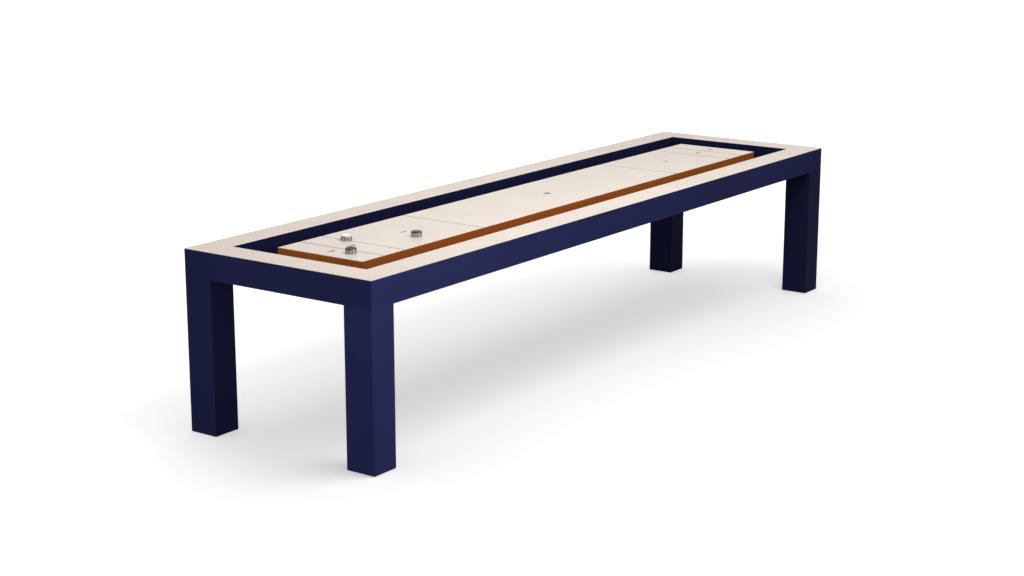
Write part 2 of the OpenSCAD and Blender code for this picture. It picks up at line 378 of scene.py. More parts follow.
def centred(f, centre):
    """Distance from an upright axis through centre, and the place measured from it."""
    shift = tuple(-c for c in centre)
    local = f.node("ShaderNodeMapping", None, {"Vector": f.place, "Location": shift})
    x, y, _ = f.parts(local)
    return (x * x + y * y).apply("SQRT"), local


def chrome(name, centre):
    """Polished chrome over turned steel: painted dark reflection bands, lathe rings and fine
    scratches.
    """
    f = Finish(name)
    bright, painted_reflection_dark, bloomed = (0.54, 0.55, 0.57), (0.17, 0.17, 0.18), (0.30, 0.31, 0.33)
    radius, local = centred(f, centre)
    _, _, height = f.parts(local)
    lathe = f.noise(f.joined(radius, height, 0.0), 2600.0, 2.0)
    scratch = f.noise(f.stretched(local, (90.0, 2400.0, 2400.0)), 1.0, 1.0).ramp(0.66, 0.72)
    bloom = f.noise(local, 130.0, 3.0)
    # Dark vertical bands painted into the chrome's colour: a painted reflection of a dark studio, not
    # marks on the metal.
    painted_reflection_bands = f.noise(f.stretched(local, (75.0, 75.0, 6.0)), 1.0, 1.0).ramp(0.42, 0.60)
    colour = f.mix(painted_reflection_bands, bright, painted_reflection_dark)
    colour = f.mix(bloom.ramp(0.35, 0.75) * 0.4, colour, bloomed)
    return f.shade({
        "Base Color": colour,
        "Metallic": 1.0,
        "Roughness": 0.12 + bloom * 0.08 + scratch * 0.14,
        "Normal": f.bump(lathe, 0.0016 * MM, f.bump(scratch, 0.002 * MM)),
    })


def cap_plastic(name, tone, centre):
    """Glossy moulded plastic: a soft flow pattern, hairline scratches and duller, handled edges."""
    f = Finish(name)
    radius, local = centred(f, centre)
    flow = f.noise(f.stretched(local, (60.0, 60.0, 160.0)), 1.0, 3.0)
    hairline = f.noise(f.stretched(local, (1500.0, 120.0, 300.0)), 1.0, 2.0).ramp(0.64, 0.72)
    handled = radius.ramp(18.0 * MM, 25.5 * MM)
    scratched = tuple(0.5 * c + 0.12 for c in tone)
    colour = f.mix(flow, scaled(tone, 0.93), scaled(tone, 1.05))
    colour = f.mix(hairline * 0.18, colour, scratched)
    return f.shade({
        "Base Color": colour,
        "Roughness": 0.26 + flow * 0.06 + hairline * 0.18 + handled * 0.08,
        "Specular IOR Level": 0.30,
        "Normal": f.bump(hairline, 0.003 * MM, f.bump(flow, 0.02 * MM)),
    })


def inlay_ink(name, tone):
    """The dark inlay of the board's lines, numbers and mark: a little worn and uneven."""
    f = Finish(name)
    faded = (0.45, 0.40, 0.35)
    worn = f.noise(f.place, 260.0, 4.0, 0.7).ramp(0.55, 0.80)
    patch = f.noise(f.place, 12.0, 3.0)
    colour = f.mix(patch, scaled(tone, 0.8), scaled(tone, 1.2))
    colour = f.mix(worn * 0.22, colour, faded)
    return f.shade({
        "Base Color": colour,
        "Roughness": 0.42 + worn * 0.12,
        "Normal": f.bump(worn, 0.004 * MM),
    })


# ---------------------------------------------------------------- shapes


def skin(loops, closed=False):
    """A solid through loops of equally many points. closed joins the last loop to the first."""
    bm = bmesh.new()
    rows = [[bm.verts.new(point) for point in loop] for loop in loops]
    following = rows[1:] + rows[:1] if closed else rows[1:]
    for low, high in zip(rows, following):
        for k in range(len(low)):
            n = (k + 1) % len(low)
            bm.faces.new((low[k], low[n], high[n], high[k]))
    if not closed:
        bm.faces.new(rows[0])
        bm.faces.new(rows[-1])
    return bm


def baked(holder):
    """A plain mesh of an object as its modifiers leave it. The object is removed."""
    bpy.context.scene.collection.objects.link(holder)
    bpy.context.view_layer.update()
    evaluated = holder.evaluated_get(bpy.context.evaluated_depsgraph_get())
    mesh = bpy.data.meshes.new_from_object(evaluated)
    holder.modifiers.clear()
    bpy.data.objects.remove(holder)
    return mesh


def plain(bm, name):
    """The mesh of a bmesh, which is freed."""
    mesh = bpy.data.meshes.new(name)
    bm.to_mesh(mesh)
    bm.free()
    return mesh


def smoothed(mesh):
    """The mesh, shaded smooth but for its real edges."""
    mesh.polygons.foreach_set("use_smooth", [True] * len(mesh.polygons))
    mesh.set_sharp_from_angle(angle=SMOOTH_BELOW)
    return mesh


def finished(bm):
    """The shell as a mesh: doubles merged, faces outwards and soft where it curves.

    Its normals are weighted by area, so that a flat stays flat beside its fillets.
    """
    bmesh.ops.remove_doubles(bm, verts=bm.verts, dist=1e-7)
    bmesh.ops.recalc_face_normals(bm, faces=bm.faces)
    holder = bpy.data.objects.new("shape", smoothed(plain(bm, "shape")))
    holder.modifiers.new("normals", "WEIGHTED_NORMAL").keep_sharp = True
    return baked(holder)


def fillet(start, end, pole, steps=4):
    """Points on a quarter ellipse from start to end; pole is the corner that it rounds off."""
    points = []
    for k in range(steps + 1):
        a = k / steps * math.pi / 2
        points.append(tuple(
            p + (s - p) * (1 - math.sin(a)) + (e - p) * (1 - math.cos(a))
            for s, e, p in zip(start, end, pole)
        ))
    return points


def rounded_rectangle(half_x, half_y, radius, steps=5):
    """The outline of a rectangle about the origin, anticlockwise."""
    points = []
    for quarter, (sx, sy) in enumerate(((1, 1), (-1, 1), (-1, -1), (1, -1))):
        for k in range(steps + 1):
            a = (quarter + k / steps) * math.pi / 2
            points.append((
                sx * (half_x - radius) + radius * math.cos(a),
                sy * (half_y - radius) + radius * math.sin(a),
            ))
    return points


def outlines(half_x, half_y, radius, heights):
    """A rounded rectangle about the origin at each (inset, height)."""
    return [
        [(x, y, z) for x, y in rounded_rectangle(half_x - inset, half_y - inset, radius - inset)]
        for inset, z in heights
    ]


def slab(half_x, half_y, radius, heights):
    """A plate about the origin. heights holds (inset, height) pairs from its bottom to its top."""
    return skin(outlines(half_x, half_y, radius, heights))


def rings(profile, segments=72):
    """A loop about the Z axis for each (radius, height). Either may depend on the angle."""
    loops = []
    for radius, height in profile:
        loop = []
        for k in range(segments):
            a = TURN * k / segments
            r = radius(a) if callable(radius) else radius
            z = height(a) if callable(height) else height
            loop.append((r * math.cos(a), r * math.sin(a), z))
        loops.append(loop)
    return loops


def turned(profile, segments=72):
    """A solid about the Z axis through (radius, height) points."""
    return skin(rings(profile, segments))


CHAMFER_SLOPE = math.tan(math.radians(30))


def hexagon(flats):
    """A hexagon's radius at each angle, from its size across the flats."""
    sector = math.pi / 3
    return lambda a: flats / 2 / math.cos((a + sector / 2) % sector - sector / 2)


def mitred_side(side, half_x, half_y, profile, radius, steps=6):
    """One side of a rectangular frame, mitred at both ends.

    profile holds (inset, height) points and radius rounds the frame's outer corners.
    """
    half_u, half_v = (half_x, half_y) if side in ("front", "back") else (half_y, half_x)
    reach = max(inset for inset, _ in profile) + 5 * MM

    def at(inset, step):
        if inset < radius:
            a = step / steps * math.pi / 4
            return (
                half_u - radius + (radius - inset) * math.sin(a),
                half_v - radius + (radius - inset) * math.cos(a),
            )
        share = step / steps
        return half_u - reach + (reach - inset) * share, half_v - inset

    place = {
        "front": lambda u, v, z: (u, -v, z),
        "back": lambda u, v, z: (-u, v, z),
        "left": lambda u, v, z: (-v, -u, z),
        "right": lambda u, v, z: (v, u, z),
    }[side]
    columns = []
    for sign, order in ((-1, range(steps, -1, -1)), (1, range(steps + 1))):
        for step in order:
            points = [(*at(inset, step), z) for inset, z in profile]
            columns.append([place(sign * u, v, z) for u, v, z in points])
    return skin(columns)


def eased(node, width, segments=2):
    """A CAD node's own shape with its arrises eased."""
    bm = bmesh.new()
    bm.from_mesh(NODES[node].data)
    bmesh.ops.remove_doubles(bm, verts=bm.verts, dist=1e-6)
    bmesh.ops.dissolve_limit(bm, angle_limit=math.radians(1), verts=bm.verts, edges=bm.edges)
    sharp = math.radians(40)
    arrises = [e for e in bm.edges if len(e.link_faces) == 2 and e.calc_face_angle() > sharp]
    bmesh.ops.bevel(
        bm, geom=arrises, offset=width, segments=segments, profile=0.5, affect="EDGES",
        clamp_overlap=True,
    )
    return bm


def middle(node):
    low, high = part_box(node)
    return (low + high) / 2


def merged(meshes):
    bm = bmesh.new()
    for mesh in meshes:
        bm.from_mesh(mesh)
    return bm


def piece(name, mesh, material, node, replaced=(), at=None):
    """A finished piece that rides with the CAD node's body."""
    if at is not None:
        mesh.transform(at if isinstance(at, Matrix) else Matrix.Translation(at))
    mesh.name = name
    mesh.materials.clear()
    mesh.materials.append(material)
    made = bpy.data.objects.new(name, mesh)
    bpy.context.scene.collection.objects.link(made)
    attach(made, BODY_OF[node])
    if replaced:
        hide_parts(*replaced)
    return made


def repaint(node, material):
    """Gives a CAD node whose shape is right its finish."""
    for held in NODES[node].material_slots:
        held.material = material


# ---------------------------------------------------------------- repeated fasteners

ROD_THREAD = {"Radius": 5 * MM, "Pitch": 1.5 * MM}
ROD_HEXAGON = {
    "Flats": 17 * MM, "Flange radius": 7.8 * MM, "Flange": 0.4 * MM,
    "Shank radius": 4 * MM, "Shank": 0.2 * MM,
}


def thread_recipe():
    """A threaded rod: a smooth core with a helical ridge on it."""
    r = Recipe("threaded_rod", {"Radius": 5 * MM, "Length": 0.1, "Pitch": 1.5 * MM})
    radius, length, pitch = r.size("Radius"), r.size("Length"), r.size("Pitch")
    ridge = pitch * 0.42
    helix = r.node(
        "GeometryNodeCurveSpiral",
        None,
        {
            "Resolution": 20,
            "Rotations": (length - pitch) / pitch,
            "Start Radius": radius - ridge,
            "End Radius": radius - ridge,
            "Height": length - pitch,
        },
    )
    helix = r.node("GeometryNodeSetCurveNormal", {"mode": "Z_UP"}, {"Curve": helix})
    section = r.node("GeometryNodeCurvePrimitiveCircle", None, {"Resolution": 4, "Radius": ridge})
    thread = r.node(
        "GeometryNodeCurveToMesh",
        None,
        {"Curve": helix, "Profile Curve": section, "Fill Caps": True},
    )
    core = r.cylinder(24, radius - ridge * 0.9, length)
    return r.serve(r.together(
        r.moved(thread, r.joined(0.0, 0.0, pitch / 2)), r.moved(core, r.joined(0.0, 0.0, length / 2))
    ))


def chamfered_hexagon(r, flats, head):
    """A hexagon prism standing on the origin, its corners chamfered at both ends."""
    x, y, z = r.parts(r.node("GeometryNodeInputPosition"))
    angle = r.node("ShaderNodeMath", {"operation": "ARCTAN2"}, {0: y, 1: x})
    sector = math.pi / 3
    rho = flats / 2 / ((angle + sector / 2) % sector - sector / 2).apply("COSINE")
    rim = z.apply("ABSOLUTE") > head * 0.4
    upper = z > 0.0
    small = flats * 0.475
    radius = rho + rim * (small - rho)
    drop = (1 - rim) * (rho - small) * CHAMFER_SLOPE
    raised = (upper * 2 - 1) * (head / 2 - drop) + head / 2
    spread = radius / (x * x + y * y).apply("SQRT")
    prism = r.cylinder(48, flats / 2, head, rows=3)
    placed = r.joined(x * spread, y * spread, raised)
    return r.node("GeometryNodeSetPosition", None, {"Geometry": prism, "Position": placed})


def hex_recipe():
    """A hexagon head or nut, chamfered at both ends, on a round flange and a plain shank.

    Its flange lies on the place and the head stands along the axis; the shank goes the other way.
    """
    r = Recipe("hexagon_fastener", {
        "Flats": 17 * MM, "Head": 7 * MM, "Flange radius": 11 * MM, "Flange": 2 * MM,
        "Shank radius": 5 * MM, "Shank": 0.02,
    })
    hexagon_part = chamfered_hexagon(r, r.size("Flats"), r.size("Head"))
    flange = r.cylinder(48, r.size("Flange radius"), r.size("Flange"))
    shank = r.cylinder(24, r.size("Shank radius"), r.size("Shank"))
    return r.serve(r.together(
        r.moved(hexagon_part, r.joined(0.0, 0.0, r.size("Flange"))),
        r.moved(flange, r.joined(0.0, 0.0, r.size("Flange") / 2)),
        r.moved(shank, r.joined(0.0, 0.0, r.size("Shank") / -2)),
    ))


def scattered(recipe, places, sizes, material):
    """A plain mesh of one fastener at each (point, axis) place."""
    seeds = bpy.data.meshes.new("places")
    seeds.from_pydata([tuple(point) for point, _ in places], [], [])
    axes = seeds.attributes.new("axis", "FLOAT_VECTOR", "POINT")
    axes.data.foreach_set("vector", [c for _, axis in places for c in axis])
    holder = bpy.data.objects.new("places", seeds)
    modifier = holder.modifiers.new("fasteners", "NODES")
    modifier.node_group = recipe
    given = {**sizes, "Finish": material}
    for item in recipe.interface.items_tree:
        if item.in_out == "INPUT" and item.name in given:
            modifier[item.identifier] = given[item.name]
    return smoothed(baked(holder))


# ---------------------------------------------------------------- cabinet

CORNER_RADIUS = 2.5 * MM


def build_aprons(lacquer):
    ease = 0.25 * MM
    low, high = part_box("apron_front")
    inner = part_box("apron_left")[1].x - low.x
    bottom, top = low.z, high.z
    profile = [(inner, bottom), (inner, top), (0.0, top)]
    profile += fillet((0.0, bottom + ease), (ease, bottom), (0.0, bottom), 3)
    for side in SIDES:
        node = f"apron_{side}"
        shape = finished(mitred_side(side, high.x, -low.y, profile, CORNER_RADIUS))
        piece(f"{node}_panel", shape, lacquer, node, [node])


def build_rail_caps(laminate):
    """The rails' top sheets, with a tiny radius along both edges and a hairline mitre."""
    ease = 0.4 * MM
    low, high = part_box("rail_cap_front")
    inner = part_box("rail_cap_left")[1].x - low.x
    profile = [(inner, low.z)]
    profile += fillet((inner, high.z - ease), (inner - ease, high.z), (inner, high.z), 3)
    profile += fillet((ease, high.z), (0.0, high.z - ease), (0.0, high.z), 3)
    profile += [(0.0, low.z)]
    for side in SIDES:
        node = f"rail_cap_{side}"
        shape = finished(mitred_side(side, high.x, -low.y, profile, CORNER_RADIUS))
        piece(f"{node}_sheet", shape, laminate, node, [node])


def build_inner_frame(lacquer, timber):
    """Liners, gutter floors, rail boards, bearers, cleats and blocks."""
    for side in SIDES:
        repaint(f"liner_{side}", lacquer)
        node = f"gutter_floor_{side}"
        piece(f"{node}_panel", finished(eased(node, 0.8 * MM)), lacquer, node, [node])
        repaint(f"rail_core_{side}", timber["X" if side in ("front", "back") else "Y"])
    for i in BEARERS:
        node = f"bearer_{i}"
        piece(f"{node}_batten", finished(eased(node, 1.0 * MM)), timber["Y"], node, [node])
    piece(
        "floor_cleat_strips", finished(eased("floor_cleats", 1.0 * MM)), timber["X"],
        "floor_cleats", ["floor_cleats"],
    )
    repaint("corner_blocks", timber["Z"])
    repaint("leg_blocks", timber["Z"])


def build_legs(lacquer):
    """Box legs: rounded outer corners, an eased foot and a plain inside."""
    ease, wall, inner_radius = 1.2 * MM, 18 * MM, 0.4 * MM
    for corner in CORNERS:
        node = f"leg_{corner}"
        low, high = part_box(node)
        half = (high - low) / 2
        outer = fillet((ease, low.z), (0.0, low.z + ease), (0.0, low.z), 3) + [(0.0, high.z)]
        inner = [(0.0, high.z), (0.0, low.z)]
        loops = outlines(half.x, half.y, CORNER_RADIUS, outer)
        loops += outlines(half.x - wall, half.y - wall, inner_radius, inner)
        centre = middle(node)
        piece(f"{node}_box", finished(skin(loops, closed=True)), lacquer, node, [node],
              (centre.x, centre.y, 0.0))


# ---------------------------------------------------------------- playing board


def build_board(timber, sheet):
    low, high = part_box("board_core")
    half = (high - low) / 2
    radius, ease = 1.5 * MM, 1.0 * MM
    heights = fillet((ease, low.z), (0.0, low.z + ease), (0.0, low.z), 3) + [(0.0, high.z)]
    piece("board_slab", finished(slab(half.x, half.y, radius, heights)), timber,
          "board_core", ["board_core"])
    low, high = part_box("board_surface")
    ease = 0.5 * MM
    heights = [(0.0, low.z)]
    heights += fillet((0.0, high.z - ease), (ease, high.z), (0.0, high.z), 3)
    piece("board_playing_sheet", finished(slab(half.x, half.y, radius, heights)), sheet,
          "board_surface", ["board_surface"])


PROUD = 0.08 * MM
INLAY_DEPTH = 0.5 * MM


def build_board_lines(name, distances, ink):
    """A quarter-inch line right across the board at each distance from both its ends."""
    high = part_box("board_surface")[1]
    width, margin, radius = INCH / 4, 1.2 * MM, 0.4 * MM
    heights = [(0.0, high.z - INLAY_DEPTH), (0.0, high.z + PROUD)]
    lines = []
    for from_end in distances:
        for end in (-1, 1):
            x = end * (high.x - from_end)
            strip = slab(width / 2, high.y - margin, radius, heights)
            bmesh.ops.translate(strip, verts=strip.verts, vec=(x, 0.0, 0.0))
            lines.append(finished(strip))
    piece(name, finished(merged(lines)), ink, "board_surface")


def numeral(text, height):
    """A number as a solid about the origin, its top towards +Y."""
    curve = bpy.data.curves.new("numeral", "FONT")
    curve.body = text
    curve.size = 1.0
    curve.resolution_u = 6
    curve.extrude = 0.5
    curve.offset = 0.035
    mesh = baked(bpy.data.objects.new("numeral", curve))
    xs, ys = ([v.co[i] for v in mesh.vertices] for i in (0, 1))
    scale = height / (max(ys) - min(ys))
    centre = Vector(((max(xs) + min(xs)) / 2, (max(ys) + min(ys)) / 2, 0.0))
    mesh.transform(
        Matrix.Diagonal((scale, scale, INLAY_DEPTH + PROUD, 1.0)) @ Matrix.Translation(-centre)
    )
    return mesh


def build_board_numbers(ink):
    """3, 2 and 1 from each end, upright for the player who stands there."""
    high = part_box("board_surface")[1]
    lift = high.z + PROUD - (INLAY_DEPTH + PROUD) / 2
    tall = 41 * MM
    numbers = []
    for text, from_end in (("3", 85 * MM), ("2", 9 * INCH), ("1", 24 * INCH)):
        for end in (-1, 1):
            shape = numeral(text, tall)
            x = end * (high.x - from_end)
            turn = Matrix.Rotation(end * math.pi / 2, 4, "Z")
            shape.transform(Matrix.Translation((x, 0.0, lift)) @ turn)
            numbers.append(shape)
    piece("board_numbers", finished(merged(numbers)), ink, "board_surface")


def build_centre_mark(ink):
    """A plain solid diamond at the board's centre."""
    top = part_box("board_surface")[1].z
    size = 24 * MM
    shape = skin([
        [(size, 0.0, z), (0.0, size, z), (-size, 0.0, z), (0.0, -size, z)]
        for z in (top - INLAY_DEPTH, top + PROUD)
    ])
    piece("board_centre_mark", finished(shape), ink, "board_surface")


def build_supports(rubber):
    piece("board_spacers", finished(eased("board_pads", 1.0 * MM)), rubber,
          "board_pads", ["board_pads"])


# ---------------------------------------------------------------- fasteners and feet


def build_leg_bolts(hexagons, steel):
    """Four in each corner block, their washers on its top."""
    washer, half_pitch = 11 * MM, 32 * MM
    low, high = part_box("leg_bolts")
    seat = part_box("corner_blocks")[1].z
    places = []
    for sx in (-1, 1):
        for sy in (-1, 1):
            for i in (-1, 1):
                for j in (-1, 1):
                    x = sx * (high.x - washer - half_pitch + i * half_pitch)
                    y = sy * (high.y - washer - half_pitch + j * half_pitch)
                    places.append(((x, y, seat), UP))
    sizes = {
        "Flats": 17 * MM, "Head": 6 * MM, "Flange radius": washer, "Flange": 2 * MM,
        "Shank radius": 5 * MM, "Shank": seat - low.z,
    }
    piece("leg_bolt_set", scattered(hexagons, places, sizes, steel), steel, "leg_bolts",
          ["leg_bolts"])


def build_board_screws(hexagons, steel):
    """Two through each bearer, their heads in its counterbores."""
    washer, counterbore = 10 * MM, 9 * MM
    low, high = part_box("board_lag_screws")
    y = (high.y - low.y) / 2 - washer
    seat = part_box("bearer_1")[0].z + counterbore
    places = [
        ((middle(f"bearer_{i}").x, side * y, seat), DOWN) for i in BEARERS for side in (-1, 1)
    ]
    sizes = {
        "Flats": 13 * MM, "Head": 5 * MM, "Flange radius": washer, "Flange": 1.8 * MM,
        "Shank radius": 4 * MM, "Shank": high.z - seat,
    }
    piece("board_screw_set", scattered(hexagons, places, sizes, steel), steel,
          "board_lag_screws", ["board_lag_screws"])


BRACKET = 4 * MM


def build_bracket_screws(hexagons, steel):
    """Two up through the flange of each bracket."""
    from_bracket_end, from_middle = 20 * MM, 10 * MM
    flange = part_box("board_core")[0].z - BRACKET
    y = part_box("adjuster_brackets")[1].y - from_bracket_end
    places = [
        ((middle(f"turnbuckle_{i}").x + side * from_middle, end * y, flange), DOWN)
        for i in TURNBUCKLES for side in (-1, 1) for end in (-1, 1)
    ]
    sizes = {
        "Flats": 6.5 * MM, "Head": 2.2 * MM, "Flange radius": 5 * MM, "Flange": 0.8 * MM,
        "Shank radius": 2.5 * MM, "Shank": 30 * MM,
    }
    piece("bracket_screw_set", scattered(hexagons, places, sizes, steel), steel,
          "adjuster_screws", ["adjuster_screws"])


def turnbuckle_shape(node):
    """A hexagon bar with turned ends and chamfered shoulders, along Y."""
    low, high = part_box(node)
    end = (high.y - low.y) / 2
    shoulder = end - 10 * MM
    flats, neck, bore, bevel = 19 * MM, 8.9 * MM, 5.1 * MM, 0.8 * MM
    hexa = hexagon(flats)

    def slope(a):
        return (hexa(a) - flats / 2) * CHAMFER_SLOPE

    def mirrored(profile):
        return profile + [
            (r, (lambda a, z=z: -z(a)) if callable(z) else -z) for r, z in reversed(profile)
        ]

    profile = [
        (bore, -end + bevel), (bore + bevel, -end), (neck - bevel, -end),
        (neck, -end + bevel), (neck, -shoulder), (flats / 2, -shoulder),
        (hexa, lambda a: -shoulder + slope(a)),
    ]
    mesh = finished(skin(rings(mirrored(profile)), closed=True))
    mesh.transform(Matrix.Rotation(math.pi / 2, 4, "X"))
    return mesh


def build_adjusters(hexagons, threads, steel):
    """Brackets, rods, nuts and turnbuckles. A nut stands on each side of a bracket's ear."""
    piece("adjuster_bracket_set", finished(eased("adjuster_brackets", 0.5 * MM)), steel,
          "adjuster_brackets", ["adjuster_brackets"])
    inner, nut = 20 * MM, 8 * MM
    xs = [middle(f"turnbuckle_{i}").x for i in TURNBUCKLES]
    z = middle("turnbuckle_1").z
    places = [((x, side * inner, z), (0.0, side, 0.0)) for x in xs for side in (-1.0, 1.0)]
    sizes = {**ROD_THREAD, "Length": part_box("adjuster_rods")[1].y - inner}
    piece("adjuster_rod_set", scattered(threads, places, sizes, steel), steel,
          "adjuster_rods", ["adjuster_rods"])
    outer_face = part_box("adjuster_nuts")[1].y - nut
    places = []
    for x in xs:
        for side in (-1.0, 1.0):
            places.append(((x, side * outer_face, z), (0.0, side, 0.0)))
            places.append(((x, side * (outer_face - BRACKET), z), (0.0, -side, 0.0)))
    sizes = {**ROD_HEXAGON, "Head": 7.6 * MM}
    piece("adjuster_nut_set", scattered(hexagons, places, sizes, steel), steel,
          "adjuster_nuts", ["adjuster_nuts"])
    for i in TURNBUCKLES:
        node = f"turnbuckle_{i}"
        piece(f"{node}_bar", turnbuckle_shape(node), steel, node, [node], middle(node))


def foot_pad_shape(radius, height):
    """A moulded pad: a hollow underside, a rounded rim, a sloping top and a socket for the screw."""
    rim, neck, socket, socket_depth = 3.2 * MM, 11.6 * MM, 5.05 * MM, 5 * MM
    profile = [(radius - 6 * MM, 0.5 * MM), (radius - 5.6 * MM, 0.0)]
    profile += fillet((radius - 1 * MM, 0.0), (radius, 1 * MM), (radius, 0.0))
    profile += fillet((radius, rim - 1 * MM), (radius - 1.2 * MM, rim), (radius, rim))
    profile += [(15 * MM, height - 1.2 * MM)]
    profile += fillet((neck + 1 * MM, height - 0.8 * MM), (neck, height), (neck + 0.6 * MM, height))
    profile += [(socket + 0.35 * MM, height), (socket, height - 0.35 * MM),
                (socket, height - socket_depth)]
    return finished(turned(profile))


def foot_screw_shape(hexagons, threads, steel, foot, collar_z, length):
    """A threaded rod up from the foot, with its hexagon above the pad."""
    x, y, _ = foot
    rod = scattered(threads, [(foot, UP)], {**ROD_THREAD, "Length": length}, steel)
    sizes = {**ROD_HEXAGON, "Head": 6.6 * MM}
    collar = scattered(hexagons, [((x, y, collar_z), UP)], sizes, steel)
    return smoothed(plain(merged([rod, collar]), "foot_screw"))


def build_feet(hexagons, threads, steel, nylon):
    """Levelling feet, each a pad and a threaded screw with its hexagon."""
    collar_z = 9 * MM
    for corner in CORNERS:
        pad, stem = f"leveller_pad_{corner}", f"leveller_stem_{corner}"
        low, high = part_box(pad)
        centre = middle(pad)
        piece(f"{pad}_moulding", foot_pad_shape((high.x - low.x) / 2, high.z - low.z), nylon,
              pad, [pad], (centre.x, centre.y, low.z))
        low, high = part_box(stem)
        foot = (centre.x, centre.y, low.z)
        mesh = foot_screw_shape(hexagons, threads, steel, foot, collar_z, high.z - low.z)
        piece(f"{stem}_screw", mesh, steel, stem, [stem])


# ---------------------------------------------------------------- pucks


def weight_shape(radius, height):
    """A turned steel weight: rounded edges and a seat in its top for the cap."""
    edge, seat = 1.8 * MM, radius - 6 * MM
    profile = [(12 * MM, 0.25 * MM), (12.4 * MM, 0.0)]
    profile += fillet((radius - edge, 0.0), (radius, edge), (radius, 0.0), 6)
    profile += fillet((radius, height - edge), (radius - edge, height), (radius, height), 6)
    profile += [(seat + 0.5 * MM, height), (seat, height - 0.5 * MM), (seat, height - 5 * MM)]
    return finished(turned(profile, 96))


def cap_shape(radius, height):
    """A moulded cap: a plug, a rounded flange and a shallow dish with two fine rings."""
    plug, seat, dish = radius - 4.55 * MM, 5 * MM, 18 * MM
    profile = [(plug - 0.5 * MM, 0.0), (plug, 0.5 * MM), (plug, seat)]
    profile += fillet((radius - 0.4 * MM, seat), (radius, seat + 0.4 * MM), (radius, seat), 2)
    top = height
    profile += fillet((radius, top - 1.3 * MM), (radius - 1.3 * MM, top), (radius, top), 6)
    profile += fillet((dish + 0.5 * MM, top), (dish, top - 0.4 * MM), (dish, top), 3)
    floor = top - 1.2 * MM
    profile += fillet((dish - 0.7 * MM, floor + 0.2 * MM), (dish - 1.4 * MM, floor),
                      (dish - 1.0 * MM, floor), 3)
    for ring in (13.0 * MM, 8.0 * MM):
        profile += [(ring, floor), (ring - 0.3 * MM, floor + 0.25 * MM),
                    (ring - 0.8 * MM, floor + 0.25 * MM), (ring - 1.1 * MM, floor)]
    return finished(turned(profile, 96))


def build_pucks():
    white, black = (0.93, 0.92, 0.88), (0.007, 0.007, 0.008)
    tones = {"white": white, "black_near": black, "black_far": black}
    for name in PUCKS:
        weight, cap = f"puck_weight_{name}", f"puck_cap_{name}"
        low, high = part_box(weight)
        centre = middle(weight)
        base = (centre.x, centre.y, low.z)
        piece(f"{weight}_turned", weight_shape((high.x - low.x) / 2, high.z - low.z),
              chrome(f"chrome_{name}", base), weight, [weight], base)
        low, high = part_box(cap)
        base = (centre.x, centre.y, low.z)
        piece(f"{cap}_moulded", cap_shape((high.x - low.x) / 2, high.z - low.z),
              cap_plastic(f"cap_{name}", tones[name], base), cap, [cap], base)


# ---------------------------------------------------------------- studio


def grey(level):
    return (level, level, level, 1.0)


def pale_floor():
    """Only the camera sees its full brightness, and from below it is clear.

    Its own light grows away from the table and leans a little from front to back.
    """
    f = Finish("pale_floor")
    middle_x, squeeze = -0.3, 0.70
    glow_near, glow_gain = 0.45, 0.22
    lean_gain = 0.20
    x, y, _ = f.parts(f.place)
    distance = (((x - middle_x) * squeeze) ** 2 + y * y).apply("SQRT")
    away = distance.ramp(1.1, 3.2)
    lean = y.ramp(-0.6, 0.9) * lean_gain - lean_gain / 2
    camera = f.node("ShaderNodeLightPath", output="Is Camera Ray")
    seen = f.node("ShaderNodeBsdfDiffuse", None, {"Color": grey(0.74)})
    strength = glow_near + away * glow_gain + lean
    glow = f.node("ShaderNodeEmission", None, {"Color": grey(1.0), "Strength": strength})
    bright = f.node("ShaderNodeAddShader", None, {0: seen, 1: glow})
    dim = f.node("ShaderNodeBsdfDiffuse", None, {"Color": grey(0.32)})
    lit = f.node("ShaderNodeMixShader", None, {0: camera, 1: dim, 2: bright})
    below = f.node("ShaderNodeNewGeometry", output="Backfacing")
    clear = f.node("ShaderNodeBsdfTransparent")
    whole = f.node("ShaderNodeMixShader", None, {0: below, 1: lit, 2: clear})
    f.tree.nodes.remove(f.shader)
    out = f.tree.nodes["Material Output"]
    f.tree.links.new(whole.socket, out.inputs["Surface"])
    return f.material


def build_floor():
    bm = bmesh.new()
    bmesh.ops.create_grid(bm, x_segments=1, y_segments=1, size=120.0)
    mesh = plain(bm, "studio_floor")
    mesh.materials.append(pale_floor())
    floor = bpy.data.objects.new("studio_floor", mesh)
    bpy.context.scene.collection.objects.link(floor)


def build_world():
    """An even sky for light and shadow; polished things mirror a darker studio with bright panels."""
    world = bpy.data.worlds.new("studio")
    world.use_nodes = True
    bpy.context.scene.world = world
    g = Graph(world.node_tree)
    background = world.node_tree.nodes["Background"]
    way = g.node("ShaderNodeTexCoord", output="Generated")
    x, y, z = g.parts(way)
    panel_count, panel_offset = 5, 0.15
    wall, overhead, panel, ceiling = 0.09, 0.14, 1.1, 0.9
    sky, backdrop_gain = 0.60, 0.46
    angle = g.node("ShaderNodeMath", {"operation": "ARCTAN2"}, {0: y, 1: x}) / TURN
    across = ((angle * panel_count + panel_offset) % 1.0 - 0.5).apply("ABSOLUTE")
    panels = across.ramp(0.30, 0.22) * z.ramp(0.12, 0.20) * z.ramp(0.80, 0.70)
    mirrored = wall + z.ramp(0.0, 0.25) * overhead + panels * panel + z.ramp(0.85, 0.97) * ceiling
    glossy = g.node("ShaderNodeLightPath", output="Is Glossy Ray")
    camera = g.node("ShaderNodeLightPath", output="Is Camera Ray")
    even = sky + camera * backdrop_gain
    strength = even + glossy * (mirrored - even)
    world.node_tree.links.new(strength.socket, background.inputs["Strength"])
    background.inputs["Color"].default_value = grey(1.0)


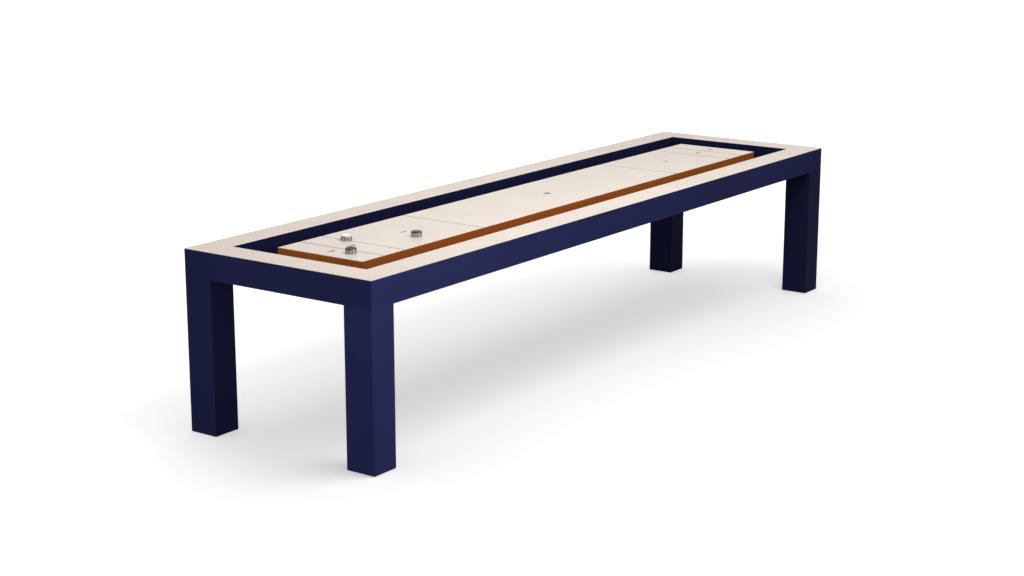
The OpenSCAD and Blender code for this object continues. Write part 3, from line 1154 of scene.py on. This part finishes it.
def add_softbox(name, at, towards, size, power, receivers=()):
    """A rectangular soft light. Where receivers are named, it lights nothing else."""
    light = bpy.data.lights.new(name, "AREA")
    light.shape = "RECTANGLE"
    light.size, light.size_y = size
    light.energy = power
    lamp = bpy.data.objects.new(name, light)
    lamp.location = at
    lamp.rotation_euler = (Vector(towards) - Vector(at)).to_track_quat("-Z", "Y").to_euler()
    bpy.context.scene.collection.objects.link(lamp)
    if receivers:
        lit = bpy.data.collections.new(f"{name}_receivers")
        for receiver in receivers:
            lit.objects.link(bpy.data.objects[receiver])
        lamp.light_linking.receiver_collection = lit


def build_camera():
    data = bpy.data.cameras.new("camera")
    data.sensor_width = 36.0
    data.lens = 65.073
    data.clip_start, data.clip_end = 0.1, 400.0
    camera = bpy.data.objects.new("camera", data)
    forward = Vector((0.791205, 0.564182, -0.235995))
    camera.location = (-7.9931, -5.46899, 2.70108)
    camera.rotation_euler = forward.to_track_quat("-Z", "Y").to_euler()
    bpy.context.scene.collection.objects.link(camera)
    bpy.context.scene.camera = camera


def build_studio():
    build_floor()
    build_world()
    add_softbox(
        "overhead_softbox", at=(-0.5, -2.2, 4.0), towards=(-0.2, 0.0, 0.88), size=(3.0, 2.2),
        power=95.0,
    )
    add_softbox(
        "side_softbox", at=(-2.6, -2.7, 1.9), towards=(-1.7, -0.5, 0.8), size=(1.4, 1.4),
        power=76.0, receivers=("apron_front_panel", "leg_front_left_box"),
    )
    add_softbox(
        "end_softbox", at=(-6.0, -1.0, 1.6), towards=(-2.1, 0.0, 0.7), size=(1.6, 1.6),
        power=82.0, receivers=("apron_left_panel", "leg_front_left_box", "leg_back_left_box"),
    )
    build_camera()
    bpy.context.scene.view_settings.view_transform = "Standard"


# ---------------------------------------------------------------- assembly


CREAM = (0.80, 0.70, 0.62)
AMBER_DARK, AMBER_LIGHT = (0.58, 0.142, 0.015), (0.80, 0.215, 0.026)
BARE_DARK, BARE_LIGHT = (0.42, 0.27, 0.13), (0.70, 0.53, 0.33)
LINE, FAINT_LINE = (0.050, 0.042, 0.036), (0.17, 0.145, 0.13)
NUMBER, MARK = (0.014, 0.013, 0.013), (0.010, 0.010, 0.010)
RUBBER, NYLON = (0.030, 0.030, 0.031), (0.022, 0.022, 0.024)


def build_table():
    lacquer = navy_lacquer()
    laminate = cream_laminate("cream_laminate", CREAM, 0.44)
    sheet = cream_laminate("playing_sheet", CREAM, 0.30)
    amber = wood("board_wood", "X", AMBER_DARK, AMBER_LIGHT, ring_gap=4.2 * MM, roughness=0.36,
                 stave=1.25 * INCH)
    bare = {
        axis: wood(f"bare_wood_{axis.lower()}", axis, BARE_DARK, BARE_LIGHT,
                   ring_gap=5.5 * MM, roughness=0.62)
        for axis in "XYZ"
    }
    steel = zinc_steel()
    hexagons, threads = hex_recipe(), thread_recipe()

    build_aprons(lacquer)
    build_rail_caps(laminate)
    build_inner_frame(lacquer, bare)
    build_legs(lacquer)
    build_board(amber, sheet)
    build_board_lines("board_scoring_lines", (6 * INCH,), inlay_ink("line_ink", LINE))
    build_board_lines("board_faint_lines", (12 * INCH, 36 * INCH), inlay_ink("faint_ink", FAINT_LINE))
    build_board_numbers(inlay_ink("number_ink", NUMBER))
    build_centre_mark(inlay_ink("mark_ink", MARK))
    build_supports(black_moulding("hard_rubber", RUBBER, roughness=0.62, depth=0.02 * MM))
    build_leg_bolts(hexagons, steel)
    build_board_screws(hexagons, steel)
    build_bracket_screws(hexagons, steel)
    build_adjusters(hexagons, threads, steel)
    build_feet(hexagons, threads, steel,
               black_moulding("foot_nylon", NYLON, roughness=0.45, depth=0.012 * MM))
    repaint("threaded_inserts", steel)
    build_pucks()


build_table()
build_studio()
